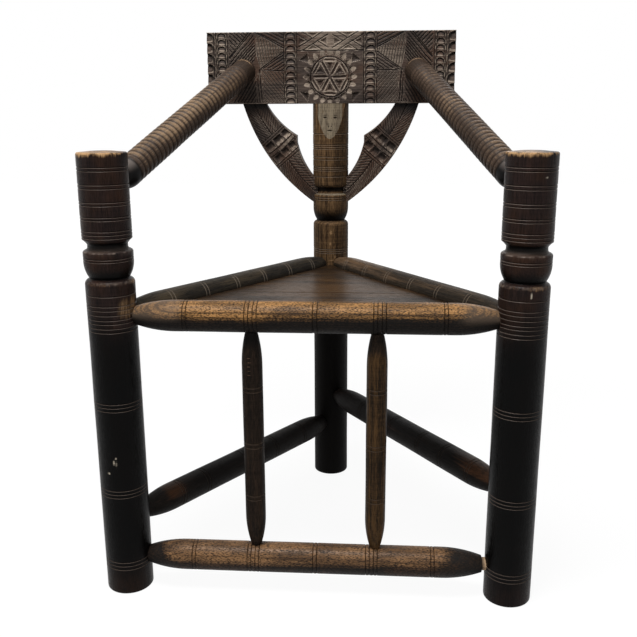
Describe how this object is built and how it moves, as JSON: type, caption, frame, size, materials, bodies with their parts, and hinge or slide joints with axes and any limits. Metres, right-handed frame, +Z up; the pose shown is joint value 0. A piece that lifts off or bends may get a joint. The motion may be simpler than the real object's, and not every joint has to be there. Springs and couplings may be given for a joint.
{
  "type": "three-legged turned armchair",
  "caption": "Turned oak armchair on a triangular plan with a board seat, ring-turned sloping arms, curved brackets and a chip-carved crest board over a rear post with a carved face.",
  "frame": {"origin": "on the floor, under the middle of the chair's outline box", "axes": "+Z up, the front faces -Y, +X to the right of someone who looks at the front"},
  "size_m": [0.6719, 0.522, 0.88],
  "materials": {
    "post_oak": "near-black stained oak, waxed, worn to golden brown at the top rims",
    "worn_oak": "brown oak, rubbed golden where legs and feet touch it",
    "rail_oak": "dark brown waxed oak",
    "arm_oak": "brown oak, hand-polished ring crests",
    "carved_oak": "grey-brown chip-carved oak with dark recesses",
    "seat_oak": "dark brown oak boards, polished by use",
    "peg_oak": "riven oak pegs, end grain"
  },
  "bodies": {
    "root": {"front_left_post": "post_oak", "front_right_post": "post_oak", "rear_post": "post_oak", "front_seat_rail": "worn_oak", "left_seat_rail": "rail_oak", "right_seat_rail": "rail_oak", "front_stretcher": "worn_oak", "left_stretcher": "rail_oak", "right_stretcher": "rail_oak", "left_spindle": "rail_oak", "right_spindle": "worn_oak", "left_arm": "arm_oak", "right_arm": "arm_oak", "crest_board": "carved_oak", "left_bracket": "carved_oak", "right_bracket": "carved_oak", "seat_front_board": "seat_oak", "seat_middle_board": "seat_oak", "seat_rear_board": "seat_oak", "crest_pegs": "peg_oak"}
  },
  "joints": []
}
